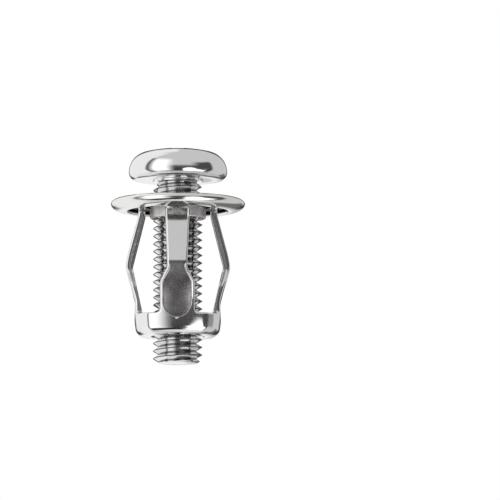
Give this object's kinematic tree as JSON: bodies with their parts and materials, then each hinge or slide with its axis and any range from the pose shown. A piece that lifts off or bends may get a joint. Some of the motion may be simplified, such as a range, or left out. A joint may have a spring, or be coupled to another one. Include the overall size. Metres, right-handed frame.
{
  "type": "hollow wall anchor",
  "caption": "Hollow wall anchor: pan-head screw through a rolled flange cap and a folding-leg cage with a threaded collar, for fixing to thin panels.",
  "frame": {"origin": "centre of the plane of the rim's lip, which seats on the wall", "axes": "+Z along the screw, out of the wall towards its head; +X and +Y through two neighbouring legs"},
  "size_m": [0.0218, 0.0218, 0.0352],
  "materials": {
    "screw_steel": "bright zinc plating, polished",
    "cap_zinc": "bright zinc plating, polished",
    "cage_zinc": "bright zinc plating, polished, with rolled edges"
  },
  "bodies": {
    "anchor": {"cage": "cage_zinc", "flange_cap": "cap_zinc"},
    "screw": {"screw": "screw_steel"}
  },
  "joints": [
    {"name": "screw_advance", "type": "slide", "parent": "anchor", "child": "screw", "axis": [0, 0, 1], "range_m": [-0.0031, 0.0078]}
  ]
}
